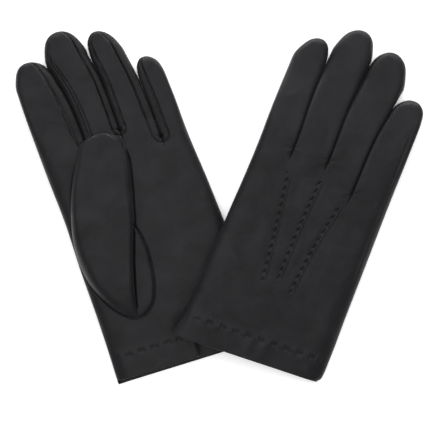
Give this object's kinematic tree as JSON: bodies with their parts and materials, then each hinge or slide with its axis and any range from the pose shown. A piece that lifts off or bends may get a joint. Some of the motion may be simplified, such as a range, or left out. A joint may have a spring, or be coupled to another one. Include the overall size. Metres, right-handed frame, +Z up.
{
  "type": "leather dress gloves",
  "caption": "Pair of lined black leather dress gloves with pointed backs, forked fingers and palm vents, laid crossed at the wrists.",
  "frame": {"origin": "middle of the pair's footprint, on the surface that it lies on", "axes": "+X across the pair from the left-hand glove to the right-hand glove, +Y from the wrists towards the fingertips, +Z up from the surface"},
  "size_m": [0.2889, 0.2515, 0.0277],
  "materials": {
    "leather": "smooth black nappa with a soft sheen",
    "side_leather": "the same leather cut thinner, slightly duller",
    "lining": "fine black knit",
    "thread": "waxed black sewing thread"
  },
  "bodies": {
    "left_hand": {"left_trank": "leather", "left_hand_lining": "lining", "left_thumb_base": "leather", "left_hem_thread": "thread", "left_back_points": "leather", "left_crotch_index_middle": "side_leather", "left_crotch_middle_ring": "side_leather", "left_crotch_ring_little": "side_leather", "left_index_root": "leather", "left_middle_root": "leather", "left_ring_root": "leather", "left_little_root": "leather"},
    "left_index_finger": {"left_index_leather": "leather", "left_index_fourchettes": "side_leather", "left_index_lining": "lining"},
    "left_middle_finger": {"left_middle_leather": "leather", "left_middle_fourchettes": "side_leather", "left_middle_lining": "lining"},
    "left_ring_finger": {"left_ring_leather": "leather", "left_ring_fourchettes": "side_leather", "left_ring_lining": "lining"},
    "left_little_finger": {"left_little_leather": "leather", "left_little_fourchettes": "side_leather", "left_little_lining": "lining"},
    "left_thumb": {"left_thumb_leather": "leather", "left_thumb_lining": "lining"},
    "right_hand": {"right_trank": "leather", "right_hand_lining": "lining", "right_thumb_base": "leather", "right_hem_thread": "thread", "right_back_points": "leather", "right_crotch_index_middle": "side_leather", "right_crotch_middle_ring": "side_leather", "right_crotch_ring_little": "side_leather", "right_index_root": "leather", "right_middle_root": "leather", "right_ring_root": "leather", "right_little_root": "leather"},
    "right_index_finger": {"right_index_leather": "leather", "right_index_fourchettes": "side_leather", "right_index_lining": "lining"},
    "right_middle_finger": {"right_middle_leather": "leather", "right_middle_fourchettes": "side_leather", "right_middle_lining": "lining"},
    "right_ring_finger": {"right_ring_leather": "leather", "right_ring_fourchettes": "side_leather", "right_ring_lining": "lining"},
    "right_little_finger": {"right_little_leather": "leather", "right_little_fourchettes": "side_leather", "right_little_lining": "lining"},
    "right_thumb": {"right_thumb_leather": "leather", "right_thumb_lining": "lining"}
  },
  "joints": [
    {"name": "right_glove_lift", "type": "slide", "parent": "left_hand", "child": "right_hand", "axis": [0, 0, 1], "range_m": [0, 0.15]},
    {"name": "left_index_bend", "type": "hinge", "parent": "left_hand", "child": "left_index_finger", "pos_m": [-0.11462, 0.05332, 0.012], "axis": [0.9553, 0.2957, 0], "range_deg": [0, 85]},
    {"name": "left_middle_bend", "type": "hinge", "parent": "left_hand", "child": "left_middle_finger", "pos_m": [-0.08558, 0.06231, 0.012], "axis": [0.9553, 0.2957, 0], "range_deg": [0, 85]},
    {"name": "left_ring_bend", "type": "hinge", "parent": "left_hand", "child": "left_ring_finger", "pos_m": [-0.0607, 0.07001, 0.012], "axis": [0.9553, 0.2957, 0], "range_deg": [0, 85]},
    {"name": "left_little_bend", "type": "hinge", "parent": "left_hand", "child": "left_little_finger", "pos_m": [-0.03523, 0.06429, 0.01213], "axis": [0.9553, 0.2957, 0], "range_deg": [0, 85]},
    {"name": "left_thumb_swing", "type": "hinge", "parent": "left_hand", "child": "left_thumb", "pos_m": [-0.07062, -0.05658, 0.0008], "axis": [0, 0, 1], "range_deg": [0, 50]},
    {"name": "right_index_bend", "type": "hinge", "parent": "right_hand", "child": "right_index_finger", "pos_m": [0.05041, 0.07239, 0.02202], "axis": [0.9376, -0.3302, -0.1089], "range_deg": [0, 40]},
    {"name": "right_middle_bend", "type": "hinge", "parent": "right_hand", "child": "right_middle_finger", "pos_m": [0.07503, 0.06372, 0.01916], "axis": [0.9376, -0.3302, -0.1089], "range_deg": [0, 40]},
    {"name": "right_ring_bend", "type": "hinge", "parent": "right_hand", "child": "right_ring_finger", "pos_m": [0.09977, 0.05501, 0.01629], "axis": [0.9376, -0.3302, -0.1089], "range_deg": [0, 40]},
    {"name": "right_little_bend", "type": "hinge", "parent": "right_hand", "child": "right_little_finger", "pos_m": [0.11943, 0.0343, 0.01398], "axis": [0.9327, -0.3285, -0.149], "range_deg": [0, 40]},
    {"name": "right_thumb_swing", "type": "hinge", "parent": "right_hand", "child": "right_thumb", "pos_m": [0.01291, -0.03951, 0.01393], "axis": [0.153, -0.0539, 0.9868], "range_deg": [0, 20]}
  ]
}
